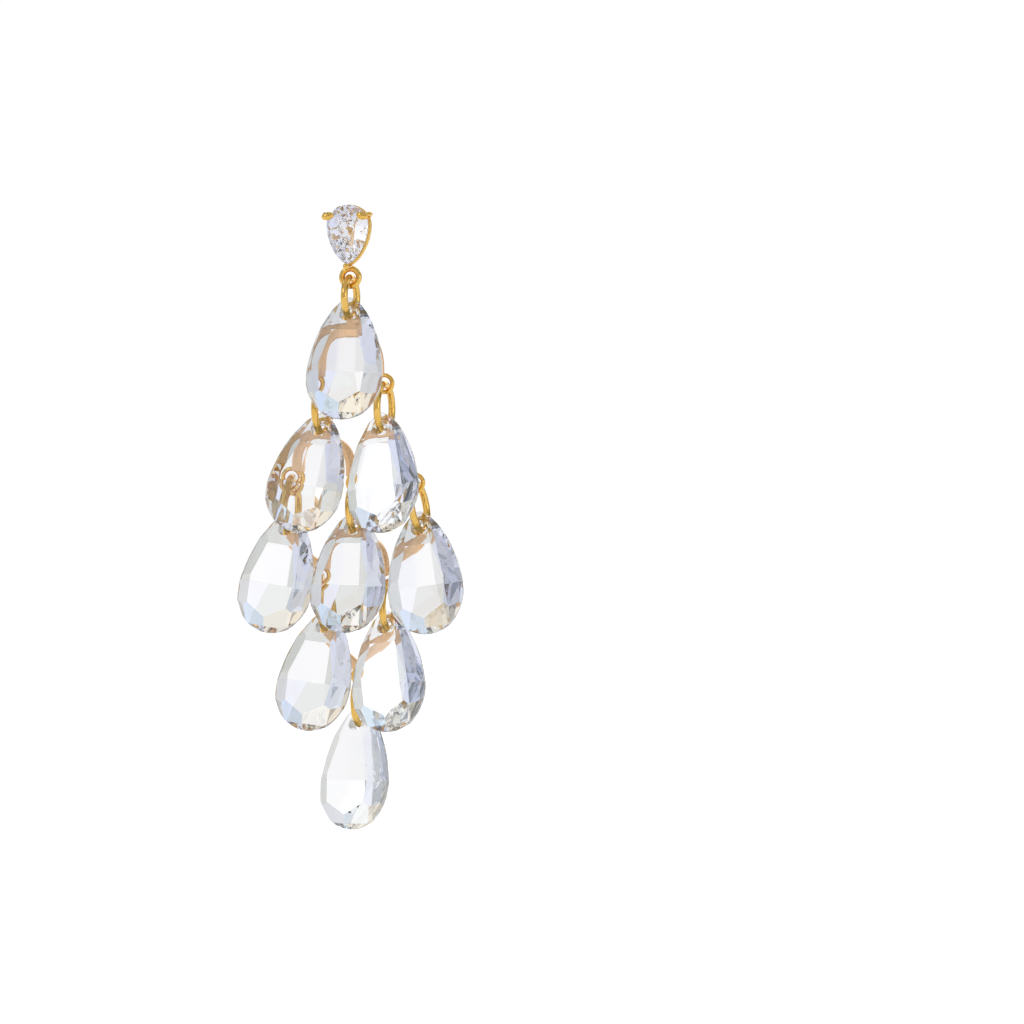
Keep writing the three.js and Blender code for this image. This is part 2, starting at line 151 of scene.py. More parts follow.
class MetalSizes(bpy.types.PropertyGroup):
    """Sizes of the wire, loops, bands and setting."""

    loop_wire: size("Loop wire", 0.55, "Diameter of the wire of a connector's loops")
    wire_gap: size("Wire gap", 0.28, "Gap between a jump ring's wire and its loop")
    loop_ease: size("Loop ease", 0.07, "What a connector's loop is wider than its ring needs")
    band_width: size("Band width", 1.25, "Width of a connector's bands, seen from the front")
    band_thickness: size("Band thickness", 0.7, "Thickness of a connector's bands")
    neck_first: size("First neck", 2.5, "From the top loop to the arch, in the first connector")
    neck: size("Neck", 1.3, "From the top loop to the arch, in the other connectors")
    behind_first: angle("Top loop behind", 19.0, "Place of the first top loop on its ring")
    behind: angle("Loop behind", 15.0, "Place of the other top loops on their rings")
    tilt: angle("Tilt", 1.31, "How far the lower end hangs back")
    turn: angle("Turn", -5.0, "How far all that hangs is turned about the vertical")
    stud_ring: size("Stud ring", 1.1, "Radius of the ring under the stud, to mid wire")
    stud_wire: size("Stud ring wire", 0.75, "Diameter of that ring's wire")
    stud_ring_depth: size("Stud ring depth", 1.35, "Distance of that ring in front of the lobe")
    girdle_depth: size("Girdle depth", 3.0, "Distance of the stone's edge in front of the lobe")
    girdle: size("Girdle", 0.25, "Thickness of the stone's edge")
    stone_gap: size("Stone gap", 0.29, "Gap between the stone and its setting")
    plate: size("Plate", 0.5, "Thickness of the plate behind the stone")
    rail_wall: size("Rail wall", 0.5, "Width of the rail under the stone")
    rail_proud: size("Rail proud", 0.1, "How far the rail stands outside the stone")
    rail_height: size("Rail height", 0.7, "Height of the rail, front to back")
    claw_radius: size("Claw radius", 0.27, "Radius of a claw")
    claw_tip: size("Claw tip", 0.8, "Half the length of an upper claw's end, side to side")
    claw_wide: size("Claw tip width", 0.5, "Half the height of an upper claw's end")
    claw_depth: size("Claw depth", 0.36, "Half the thickness of a claw's end, front to back")
    claw_in: size("Claw in", 0.2, "How far its middle lies inside the stone's edge")
    point_tip: size("Point claw tip", 0.42, "Radius of the end of the claw at the point")
    point_out: size("Point claw out", 0.35, "How far its middle lies outside the stone's edge")
    post_radius: size("Post radius", 0.4, "Radius of the ear post")
    post_length: size("Post length", 8.2, "Length of the ear post")
    arch_power: number("Arch power", 2 / 3, "1 makes an arch an ellipse, and less squares it")
    band_inset: number("Band inset", 0.6, "Where a band meets a foot loop, by its radius")
    plate_share: number("Plate share", 0.62, "Plate size as a share of the stone's")
    widest: number("Widest", 0.66, "Place of a pear's greatest width, from its point")
    claw_rise: angle("Claw rise", 12.0, "How far the ends of the two upper claws rise inward")
    claw_angle: angle("Claw angle", 26.0, "Place of the two upper claws above the stone's widest")
    pavilion: angle("Pavilion", 50.0, "Slope of the stone's back")
    crown: angle("Crown", 38.0, "Slope of the stone's front edge")


class Finishes(bpy.types.PropertyGroup):
    """Colours of the metal, the glass and the floor, as sRGB hex."""

    gold: StringProperty(name="Gold", description="Gold plate", default="#E0AE4E")
    gold_pale: StringProperty(name="Pale gold", description="Gold plate, paler", default="#F1CB78")
    peach: StringProperty(name="Peach gold", description="The connectors' bands", default="#F0C698")
    glass: StringProperty(name="Glass", description="Clear cut glass", default="#FDFDFF")
    blue: StringProperty(name="Blue tint", description="Pale blue facets", default="#BFE2F4")
    cream: StringProperty(name="Cream tint", description="Cream facets", default="#F2DDB8")
    violet: StringProperty(name="Violet tint", description="Lavender facets", default="#BDC6EA")
    grey: StringProperty(name="Grey tint", description="Greyish facets", default="#B9BCB8")
    # Painted shade: the grey laid on a drop's sideways facets, for the dark line at its edge
    rim: StringProperty(name="Painted edge shade", description="Grey shade painted round a drop's edge", default="#8E9294")
    stone: StringProperty(name="Stone", description="The stud's clear stone", default="#FAF9FD")
    floor: StringProperty(name="Floor", description="Studio floor", default="#FCFCFC")


class Studio(bpy.types.PropertyGroup):
    """Where the camera stands and how bright the light is."""

    azimuth: angle("Azimuth", 13.5, "Camera angle round the earring")
    distance: size("Distance", 600.0, "Camera distance")
    frame_width: size("Frame width", 130.05, "Width of the picture at the earring")
    aside: size("Aside", 20.2, "Distance of the picture's middle to the earring's right")
    aim: size("Aim", 35.2, "Depth of the picture's middle below the ear post")
    floor_drop: size("Floor drop", 14.0, "Height of the lowest drop above the floor")
    floor_half: size("Floor half", 3000.0, "Half the floor's width")
    floor_glow: number("Floor glow", 0.6, "Light from behind the floor, as the camera sees it")
    floor_lift: number("Floor lift", 0.32, "Light from behind the floor, as the glass sees it")
    card_mirrored: number("Cards mirrored", 0.12, "Brightness of the grey cards in mirrored light")
    white_mirrored: number("White mirrored", 0.95, "Brightness between the cards in mirrored light")
    share_mirrored: number("Share mirrored", 0.75, "Where the cards end in mirrored light")
    card_through: number("Cards through", 1.06, "Brightness of the cards seen through glass")
    white_through: number("White through", 1.12, "Brightness between the cards seen through glass")
    share_through: number("Share through", 0.6, "Where the cards end when seen through glass")
    flank: number("Flanks", 0.78, "Brightness of the studio's sides seen through glass")
    backdrop: number("Backdrop", 1.02, "Brightness of the surround seen straight")
    sky: number("Sky", 1.0, "Brightness of the whole surround")
    softbox: number("Softbox", 0.25, "Key light's power in watts")
    bounces: IntProperty(
        name="Bounces", description="How often light may turn inside the glass", default=16
    )


# Surfaces, each worked out as a whole grid of points


def skin(rows, closed):
    """A tube through rows of points. Each row is one section, and row i is joined to row i + 1. An
    open tube's ends are closed with a fan to the middle of the end section."""
    n, m, _ = rows.shape
    i = np.arange(n if closed else n - 1)[:, None]
    j = np.arange(m)[None, :]
    after = (i + 1) % n
    beside = (j + 1) % m
    corners = [i * m + j, i * m + beside, after * m + beside, after * m + j]
    faces = np.stack(corners, axis=-1).reshape(-1, 4).tolist()
    points = rows.reshape(-1, 3)
    if not closed:
        points = np.vstack([points, rows[0].mean(0), rows[-1].mean(0)])
        j = np.arange(m)
        last = (n - 1) * m
        start = np.stack([(j + 1) % m, j, np.full(m, n * m)], axis=-1)
        end = np.stack([last + j, last + (j + 1) % m, np.full(m, n * m + 1)], axis=-1)
        faces += start.tolist() + end.tolist()
    return outward(points, faces)


def outward(points, faces):
    """The same faces, turned round if they enclose a negative volume."""
    corners = np.array([[f[0], f[k], f[k + 1]] for f in faces for k in range(1, len(f) - 1)])
    a, b, c = (points[corners[:, k]] for k in range(3))
    volume = np.einsum("ij,ij->i", a, np.cross(b, c)).sum()
    return points, faces if volume > 0 else [f[::-1] for f in faces]


def round_section(radius, sides=20):
    """Points of a circle: (radius cos t, radius sin t)."""
    t = np.linspace(0, 2 * np.pi, sides, endpoint=False)
    return np.stack([radius * np.cos(t), radius * np.sin(t)], axis=-1)


def band_section(thickness, width, sides=24):
    """Points of a rounded rectangle, a superellipse: half the size times the section power of cos t
    and sin t, with their signs kept."""
    t = np.linspace(0, 2 * np.pi, sides, endpoint=False)
    c, s = np.cos(t), np.sin(t)
    u = thickness / 2 * np.sign(c) * np.abs(c) ** SECTION_POWER
    v = width / 2 * np.sign(s) * np.abs(s) ** SECTION_POWER
    return np.stack([u, v], axis=-1)


def carried(path, across, section, closed=False):
    """A section carried along a path. Its first axis is across, squared to the path, and its second
    is the path's direction crossed with the first."""
    if closed:
        ahead = np.roll(path, -1, axis=0) - np.roll(path, 1, axis=0)
    else:
        ahead = np.gradient(path, axis=0)
    ahead /= np.linalg.norm(ahead, axis=1, keepdims=True)
    first = np.broadcast_to(np.asarray(across, float), path.shape)
    first = first - np.sum(first * ahead, axis=1, keepdims=True) * ahead
    first = first / np.linalg.norm(first, axis=1, keepdims=True)
    second = np.cross(ahead, first)
    u = section[None, :, 0, None]
    v = section[None, :, 1, None]
    rows = path[:, None, :] + u * first[:, None, :] + v * second[:, None, :]
    return skin(rows, closed)


def catmull(knots, steps):
    """A smooth path through a few points, by the Catmull-Rom rule on each stretch."""
    padded = np.vstack([2 * knots[0] - knots[1], knots, 2 * knots[-1] - knots[-2]])
    t = np.linspace(0, 1, steps, endpoint=False)[:, None]
    parts = []
    for a, b, c, d in zip(padded, padded[1:], padded[2:], padded[3:]):
        squared = (2 * a - 5 * b + 4 * c - d) * t**2
        cubed = (3 * b - a - 3 * c + d) * t**3
        parts.append(0.5 * (2 * b + (c - a) * t + squared + cubed))
    return np.vstack([*parts, knots[-1:]])


def torus(centre, first, second, radius, wire, steps=64, sides=20):
    """A round wire ring: centre plus radius times (first cos t + second sin t), with a round
    section."""
    t = np.linspace(0, 2 * np.pi, steps, endpoint=False)[:, None]
    path = centre + radius * (np.cos(t) * first + np.sin(t) * second)
    return carried(path, np.cross(first, second), round_section(wire / 2, sides), closed=True)


def ball(centre, radii, axes, steps=20):
    """An ellipsoid: centre plus radii times (sin a cos b, sin a sin b, cos a) along the axes."""
    a = np.linspace(POLE, np.pi - POLE, steps)[:, None]
    b = np.linspace(0, 2 * np.pi, 2 * steps, endpoint=False)[None, :]
    x = np.sin(a) * np.cos(b)
    y = np.sin(a) * np.sin(b)
    z = np.cos(a) * np.ones_like(b)
    return skin(centre + np.stack([x, y, z], axis=-1) * radii @ axes, False)


def turned(profile, centre, axis, first, sides=32):
    """A profile of (distance along the axis, radius) pairs, turned round the axis."""
    b = np.linspace(0, 2 * np.pi, sides, endpoint=False)
    round_ = np.cos(b)[:, None] * first + np.sin(b)[:, None] * np.cross(axis, first)
    rows = centre + profile[:, 0, None, None] * axis + profile[:, 1, None, None] * round_[None]
    return skin(rows, False)


def pear(width, height, widest, steps=96):
    """A pear's outline as (x, z), point up at 0 and round end at -height. From the point to the
    widest place the half width is a power of a cosine, and below it is a half ellipse."""
    a = np.linspace(0, np.pi / 2, steps // 4, endpoint=False)
    top_x = width / 2 * np.cos(np.pi / 2 - a) ** PEAR_WIDTH_POWER
    top_z = -height * widest * (1 - np.abs(np.sin(np.pi / 2 - a)) ** PEAR_HEIGHT_POWER)
    low_x = width / 2 * np.cos(a)
    low_z = -height * (widest + (1 - widest) * np.sin(a))
    right = np.stack([np.append(top_x, low_x), np.append(top_z, low_z)], axis=-1)
    foot = np.array([[0.0, -height]])
    left = right[:0:-1] * [-1, 1]
    return np.vstack([right, foot, left])


def piece(name, shells, node, materials):
    """One object from shells of points and faces, which stands for a CAD node. The materials go
    with the lists of shells, in order."""
    points, faces, slots, start = [], [], [], 0
    for slot, group in enumerate(shells):
        for shell_points, shell_faces in group:
            points.append(shell_points)
            faces += [[start + k for k in f] for f in shell_faces]
            slots += [slot] * len(shell_faces)
            start += len(shell_points)
    mesh = bpy.data.meshes.new(name)
    mesh.from_pydata(np.vstack(points).tolist(), [], faces)
    mesh.polygons.foreach_set("use_smooth", [True] * len(mesh.polygons))
    mesh.polygons.foreach_set("material_index", slots)
    mesh.update()
    made = bpy.data.objects.new(name, mesh)
    bpy.context.scene.collection.objects.link(made)
    for material in materials:
        mesh.materials.append(material)
    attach(made, frame["nodes"][node]["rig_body"])
    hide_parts(node)


# The frame's own places


def hanging_axes():
    """The axes of the hanging part: sideways, back and up. It is turned about the vertical, and
    then tilted so that its lower end hangs back."""
    s = bpy.context.scene.earring_metal
    side = np.array([math.cos(s.turn), math.sin(s.turn), 0.0])
    level = np.array([-math.sin(s.turn), math.cos(s.turn), 0.0])
    high = np.array([0.0, 0.0, 1.0])
    back = math.cos(s.tilt) * level + math.sin(s.tilt) * high
    up = math.cos(s.tilt) * high - math.sin(s.tilt) * level
    return side, back, up


def ring_of(node):
    """A jump ring's middle, its direction down, its radius to mid wire and its wire, measured on
    the CAD node: the thinnest direction of its corners is its axis."""
    mesh = frame["nodes"][node].data
    corners = np.empty(len(mesh.vertices) * 3)
    mesh.vertices.foreach_get("co", corners)
    corners = np.unique(corners.reshape(-1, 3).round(8), axis=0)
    middle = corners.mean(0)
    axis = np.linalg.svd(corners - middle, full_matrices=False)[2][2]
    flat = corners - middle - ((corners - middle) @ axis)[:, None] * axis
    reach = np.linalg.norm(flat, axis=1)
    wire = reach.max() - reach.min()
    _, back, up = hanging_axes()
    down = np.cross(axis, back)
    down *= -np.sign(down @ up) / np.linalg.norm(down)
    return {"middle": middle, "down": down, "radius": reach.max() - wire / 2, "wire": wire}


def loop_radius():
    """Radius to mid wire of a connector's loop, which clears its ring's wire."""
    s = bpy.context.scene.earring_metal
    return ring_of(RINGS[1])["wire"] / 2 + s.wire_gap + s.loop_wire / 2 + s.loop_ease


def top_place(ring, behind):
    """Where a connector's top loop sits on a ring, behind the ring's lowest point."""
    _, back, _ = hanging_axes()
    way = math.cos(behind) * ring["down"] + math.sin(behind) * back
    return ring["middle"] + ring["radius"] * way


def foot_place(ring):
    """Where the foot loop that a ring hangs from sits, straight above the ring."""
    s = bpy.context.scene.earring_metal
    rise = (ring["wire"] + s.loop_wire) / 2 + s.wire_gap
    return ring["middle"] - ring["down"] * (ring["radius"] + loop_radius() - rise)


# Materials


def linear(hex_colour):
    """An sRGB hex colour as opaque linear RGBA."""
    parts = [int(hex_colour[i : i + 2], 16) / 255 for i in (1, 3, 5)]
    channels = [c / 12.92 if c <= 0.04045 else ((c + 0.055) / 1.055) ** 2.4 for c in parts]
    return (*channels, 1.0)


def add(tree, kind, settings=None, **links):
    """Adds a node with its settings, then links or sets its inputs by name, or by number as i0."""
    node = tree.nodes.new(kind)
    for key, value in (settings or {}).items():
        setattr(node, key, value)
    for key, value in links.items():
        by_number = key[0] == "i" and key[1:].isdigit()
        socket = node.inputs[int(key[1:]) if by_number else key.replace("_", " ")]
        if isinstance(value, bpy.types.NodeSocket):
            tree.links.new(value, socket)
        else:
            socket.default_value = value
    return node


def new_material(name):
    """An empty node material and its tree."""
    material = bpy.data.materials.new(name)
    material.use_nodes = True
    material.node_tree.nodes.clear()
    return material, material.node_tree


def gold_plate(name, thick, thin, polish):
    """Brass with a gold plate: a mirror with faint buffing marks, a little paler where the plate is
    thin. Polish is the roughness between the marks."""
    patch, mark, mark_depth = 1.4 * MM, 0.12 * MM, 0.02 * MM
    material, tree = new_material(name)
    place = add(tree, "ShaderNodeTexCoord").outputs["Object"]
    patches = add(tree, "ShaderNodeTexNoise", Vector=place, Scale=1 / patch, Detail=2.0)
    buffing = add(tree, "ShaderNodeTexNoise", Vector=place, Scale=1 / mark, Detail=3.0)
    tone = add(
        tree,
        "ShaderNodeMix",
        {"data_type": "RGBA"},
        i0=patches.outputs["Fac"],
        i6=linear(thick),
        i7=linear(thin),
    )
    rough = add(
        tree,
        "ShaderNodeMapRange",
        Value=buffing.outputs["Fac"],
        To_Min=polish,
        To_Max=2.5 * polish,
    )
    bump = add(
        tree,
        "ShaderNodeBump",
        Height=buffing.outputs["Fac"],
        Strength=0.03,
        Distance=mark_depth,
    )
    shader = add(
        tree,
        "ShaderNodeBsdfPrincipled",
        Base_Color=tone.outputs[2],
        Metallic=1.0,
        Roughness=rough.outputs["Result"],
        Normal=bump.outputs["Normal"],
    )
    add(tree, "ShaderNodeOutputMaterial", Surface=shader.outputs["BSDF"])
    return material


def wire_gold():
    """The polished plate of the rings, the loops and the setting."""
    c = bpy.context.scene.earring_finishes
    return gold_plate("Polished gold plate", c.gold, c.gold_pale, 0.06)


def band_gold():
    """The softer, peach-toned plate of the bands behind the drops."""
    c = bpy.context.scene.earring_finishes
    return gold_plate("Satin peach gold plate", c.peach, c.peach, 0.16)


def cut_glass(name, pure, tints, ior, film):
    """Cut and polished glass. The facets that face front or back stay clear. Those round the edge
    take tints by the way they face, as a thin coating gives, fainter at the back. The narrow band
    between front and back is painted grey, as painted shade for the dark line at a drop's edge.
    Tints go round counter-clockwise from the left, and film is the coating's thickness in
    nanometres."""
    material, tree = new_material(name)
    facing = add(tree, "ShaderNodeTexCoord").outputs["Normal"]
    parts = add(tree, "ShaderNodeSeparateXYZ", Vector=facing).outputs
    square = add(tree, "ShaderNodeMath", {"operation": "MULTIPLY"}, i0=parts["Y"], i1=parts["Y"])
    slant = add(
        tree,
        "ShaderNodeMapRange",
        Value=square.outputs[0],
        From_Min=TINT_NONE,
        From_Max=TINT_FULL,
    )
    front = add(
        tree,
        "ShaderNodeMapRange",
        Value=parts["Y"],
        From_Min=SIDE_TURN,
        From_Max=-SIDE_TURN,
        To_Min=BACK_TINT,
    )
    edge = add(
        tree,
        "ShaderNodeMath",
        {"operation": "MULTIPLY"},
        i0=slant.outputs["Result"],
        i1=front.outputs["Result"],
    )
    # Painted shade: a mask of the facets that face sideways, which take a grey line
    rim = add(
        tree,
        "ShaderNodeMapRange",
        Value=square.outputs[0],
        From_Min=RIM_NONE,
        From_Max=RIM_FULL,
    )
    flat = add(tree, "ShaderNodeCombineXYZ", X=parts["X"], Y=parts["Z"])
    way = add(tree, "ShaderNodeTexGradient", {"gradient_type": "RADIAL"}, Vector=flat.outputs[0])
    stray = add(tree, "ShaderNodeTexNoise", Vector=facing, Scale=2.5, Detail=0.0)
    shift = add(
        tree,
        "ShaderNodeMapRange",
        Value=stray.outputs["Fac"],
        From_Min=0.3,
        From_Max=0.7,
        To_Min=-TINT_STRAY,
        To_Max=TINT_STRAY,
    )
    place = add(tree, "ShaderNodeMath", i0=way.outputs["Fac"], i1=shift.outputs["Result"])
    turn = add(tree, "ShaderNodeMath", {"operation": "FRACT"}, i0=place.outputs[0])
    ramp = add(tree, "ShaderNodeValToRGB", Fac=turn.outputs[0])
    stops = ramp.color_ramp.elements
    stops[0].color = linear(tints[0])
    stops[1].color = linear(tints[0])
    for i, tint in enumerate(tints[1:], 1):
        stops.new(i / len(tints)).color = linear(tint)
    tone = add(
        tree,
        "ShaderNodeMix",
        {"data_type": "RGBA"},
        i0=edge.outputs[0],
        i6=linear(pure),
        i7=ramp.outputs["Color"],
    )
    # Lays the painted grey edge shade over the tints
    lined = add(
        tree,
        "ShaderNodeMix",
        {"data_type": "RGBA"},
        i0=rim.outputs["Result"],
        i6=tone.outputs[2],
        i7=linear(bpy.context.scene.earring_finishes.rim),
    )
    shader = add(
        tree,
        "ShaderNodeBsdfPrincipled",
        Base_Color=lined.outputs[2],
        Roughness=0.0,
        IOR=ior,
        Transmission_Weight=1.0,
        Thin_Film_Thickness=film,
        Thin_Film_IOR=COATING_IOR,
    )
    add(tree, "ShaderNodeOutputMaterial", Surface=shader.outputs["BSDF"])
    return material


def studio_floor(name="Lit white acrylic"):
    """Matte white acrylic with light behind it, brightest where it is seen straight, so that it
    shows evenly white and lifts the glass a little."""
    s = bpy.context.scene.earring_studio
    grain_width, grain_depth = 2 * MM, 0.05 * MM
    material, tree = new_material(name)
    white = linear(bpy.context.scene.earring_finishes.floor)
    place = add(tree, "ShaderNodeTexCoord").outputs["Object"]
    grain = add(tree, "ShaderNodeTexNoise", Vector=place, Scale=1 / grain_width)
    bump = add(
        tree,
        "ShaderNodeBump",
        Height=grain.outputs["Fac"],
        Strength=0.05,
        Distance=grain_depth,
    )
    straight = add(tree, "ShaderNodeLightPath").outputs["Is Camera Ray"]
    glow = add(
        tree,
        "ShaderNodeMapRange",
        Value=straight,
        To_Min=s.floor_lift,
        To_Max=s.floor_glow,
    )
    shader = add(
        tree,
        "ShaderNodeBsdfPrincipled",
        Base_Color=white,
        Roughness=0.9,
        Normal=bump.outputs["Normal"],
        Emission_Color=white,
        Emission_Strength=glow.outputs["Result"],
    )
    add(tree, "ShaderNodeOutputMaterial", Surface=shader.outputs["BSDF"])
    return material


# Operators


class EARRING_OT_camera(bpy.types.Operator):
    """Places the camera level with the drops, at the photograph's viewing angle."""

    bl_idname = "earring.camera"
    bl_label = "Camera"

    def execute(self, context):
        s = context.scene.earring_studio
        data = bpy.data.cameras.new("Camera")
        camera = bpy.data.objects.new("Camera", data)
        context.scene.collection.objects.link(camera)
        data.sensor_width = 36.0
        data.lens = data.sensor_width * s.distance / s.frame_width
        turn = s.azimuth - math.atan(s.aside / s.distance)
        right = Vector((math.cos(turn), math.sin(turn), 0))
        back = Vector((math.sin(turn), -math.cos(turn), 0))
        camera.location = back * s.distance + right * s.aside + Vector((0, 0, -s.aim))
        camera.rotation_euler = (math.pi / 2, 0, turn)
        data.clip_start = 0.01
        data.clip_end = 100.0
        context.scene.camera = camera
        return {"FINISHED"}


class EARRING_OT_studio(bpy.types.Operator):
    """Adds the pale floor, the white surround with its grey cards and three soft lights."""

    bl_idname = "earring.studio"
    bl_label = "Studio"

    def execute(self, context):
        s = context.scene.earring_studio
        height = cad_low.z - s.floor_drop
        half = s.floor_half
        mesh = bpy.data.meshes.new("studio_floor")
        turns = [(-1, -1), (1, -1), (1, 1), (-1, 1)]
        mesh.from_pydata([(half * x, half * y, height) for x, y in turns], [], [(0, 1, 2, 3)])
        floor = bpy.data.objects.new("studio_floor", mesh)
        context.scene.collection.objects.link(floor)
        mesh.materials.append(studio_floor())

        world = bpy.data.worlds.new("White surround")
        world.use_nodes = True
        tree = world.node_tree
        tree.nodes.clear()
        way = add(tree, "ShaderNodeTexCoord").outputs["Generated"]
        path = add(tree, "ShaderNodeLightPath")
        cards = add(tree, "ShaderNodeTexWave", Vector=way, **CARD_PATTERN)
        mirrored = self.cards(tree, cards, s.share_mirrored, s.card_mirrored, s.white_mirrored)
        parts = add(tree, "ShaderNodeSeparateXYZ", Vector=way)
        aside = add(tree, "ShaderNodeMath", {"operation": "ABSOLUTE"}, i0=parts.outputs["X"])
        flank = add(
            tree,
            "ShaderNodeMapRange",
            Value=aside.outputs[0],
            From_Min=FLANK_NONE,
            From_Max=FLANK_FULL,
            To_Min=1.0,
            To_Max=s.flank,
        )
        plain = self.cards(tree, cards, s.share_through, s.card_through, s.white_through)
        through = add(
            tree,
            "ShaderNodeMath",
            {"operation": "MULTIPLY"},
            i0=plain,
            i1=flank.outputs["Result"],
        ).outputs[0]
        shade = self.either(tree, path.outputs["Is Transmission Ray"], mirrored, through)
        both = self.either(tree, path.outputs["Is Camera Ray"], shade, s.backdrop)
        level = add(tree, "ShaderNodeMath", {"operation": "MULTIPLY"}, i0=both, i1=s.sky)
        surround = add(tree, "ShaderNodeBackground", Color=(1, 1, 1, 1), Strength=level.outputs[0])
        add(tree, "ShaderNodeOutputWorld", Surface=surround.outputs["Background"])
        context.scene.world = world

        middle = (cad_low + cad_high) / 2
        for name, offset, width, share in [
            ("Key softbox", Vector((-0.35, -0.45, 0.35)), 0.18, 1.0),
            ("Fill softbox", Vector((0.5, -0.3, 0.1)), 0.18, 0.7),
            ("Back softbox", Vector((0.1, 0.5, 0.3)), 0.3, 1.0),
        ]:
            light = bpy.data.lights.new(name, "AREA")
            light.energy = s.softbox * share
            light.size = width
            lamp = bpy.data.objects.new(name, light)
            context.scene.collection.objects.link(lamp)
            lamp.visible_transmission = False
            lamp.location = middle + offset
            lamp.rotation_euler = (-offset).to_track_quat("-Z", "Y").to_euler()
        context.scene.view_settings.view_transform = "Standard"
        cycles = context.scene.cycles
        cycles.glossy_bounces = cycles.transmission_bounces = s.bounces
        cycles.max_bounces = 2 * s.bounces
        return {"FINISHED"}

    def cards(self, tree, pattern, share, dark, bright):
        """Grey cards on the white surround: dark at the pattern's lowest, bright past the share."""
        brightness = add(
            tree,
            "ShaderNodeMapRange",
            Value=pattern.outputs["Fac"],
            From_Max=share,
            To_Min=dark,
            To_Max=bright,
        )
        return brightness.outputs["Result"]

    def either(self, tree, chosen, no, yes):
        """One brightness or the other, by the kind of ray."""
        mix = add(tree, "ShaderNodeMix", {"data_type": "FLOAT"}, i0=chosen, i2=no, i3=yes)
        return mix.outputs[0]


class EARRING_OT_crystals(bpy.types.Operator):
    """Gives the nine drops and the stud's stone their cut glass."""

    bl_idname = "earring.crystals"
    bl_label = "Drops and stone"

    def execute(self, context):
        c = context.scene.earring_finishes
        tints = [c.grey, c.violet, c.blue, c.cream, c.grey, c.violet, c.glass, c.grey]
        coated = cut_glass("Cut crystal glass, coated", c.glass, tints, GLASS_IOR, COATING)
        clear = cut_glass("Cut cubic zirconia", c.stone, [c.violet, c.stone], ZIRCONIA_IOR, 0.0)
        for name, node in frame["nodes"].items():
            if name.startswith("crystal_"):
                node.data.materials.clear()
                node.data.materials.append(coated)
        stone = frame["nodes"]["stud_stone"]
        stone.data.materials.clear()
        stone.data.materials.append(clear)
        return {"FINISHED"}


class EARRING_OT_rings(bpy.types.Operator):
    """Makes the nine jump rings of round wire."""

    bl_idname = "earring.rings"
    bl_label = "Jump rings"

    def execute(self, context):
        metal = wire_gold()
        _, back, _ = hanging_axes()
        for node in RINGS:
            ring = ring_of(node)
            middle, down, radius, wire = (ring[k] for k in ("middle", "down", "radius", "wire"))
            shell = torus(middle, down, back, radius, wire, steps=96)
            piece(f"polished_{node}", [[shell]], node, [metal])
        return {"FINISHED"}


class EARRING_OT_connectors(bpy.types.Operator):
    """Makes the four connectors: loops, stems and curved bands."""

    bl_idname = "earring.connectors"
    bl_label = "Connectors"

    def execute(self, context):
        s = context.scene.earring_metal
        side, back, up = hanging_axes()
        radius = loop_radius()
        section = band_section(s.band_thickness, s.band_width)
        materials = [wire_gold(), band_gold()]
        for node, (above, below) in CONNECTORS.items():
            first = node == "connector_1"
            behind = s.behind_first if first else s.behind
            neck = s.neck_first if first else s.neck
            tops = [top_place(ring_of(name), behind) for name in above]
            feet = [foot_place(ring_of(name)) for name in below]
            places = [*tops, *feet]
            loops = [torus(p, side, up, radius, s.loop_wire, steps=48, sides=14) for p in places]
            bands = []
            for top in tops:
                apex = top - up * neck
                stem = np.linspace(top - up * radius, apex - up * s.band_width / 2, 8)
                bands.append(carried(stem, back, section))
                for foot in feet:
                    reach = (foot - top) @ side
                    if abs(reach) > ARM_REACH * self.pitch(tops, feet):
                        continue
                    outer = abs(top @ side) > abs(foot @ side) + radius and len(feet) < len(tops)
                    bands.append(carried(self.arm(apex, foot, radius, outer), back, section))
            piece(f"polished_{node}", [loops, bands], node, materials)
        return {"FINISHED"}

    def pitch(self, tops, feet):
        """The greatest sideways distance from a top to its nearest foot."""
        side = hanging_axes()[0]
        return max(min(abs((foot - top) @ side) for foot in feet) for top in tops)

    def arm(self, apex, foot, radius, outer):
        """A band's middle line. An arch leaves the stem level, across as a power of the sine and
        down as 1 minus that power of the cosine, and an outer arm falls along a cosine wave."""
        side, _, up = hanging_axes()
        inset = bpy.context.scene.earring_metal.band_inset
        across = (foot - apex) @ side
        across -= math.copysign(inset * radius, across)
        down = (apex - foot) @ up - radius * math.sqrt(1 - inset**2)
        t = (1 - np.cos(np.pi * np.linspace(0, 1, 41)[:, None])) / 2
        if outer:
            x, z = (1 - np.cos(np.pi * t)) / 2, t
        else:
            power = bpy.context.scene.earring_metal.arch_power
            x, z = np.sin(np.pi / 2 * t) ** power, 1 - np.abs(np.cos(np.pi / 2 * t)) ** power
        return apex + across * x * side - down * z * up


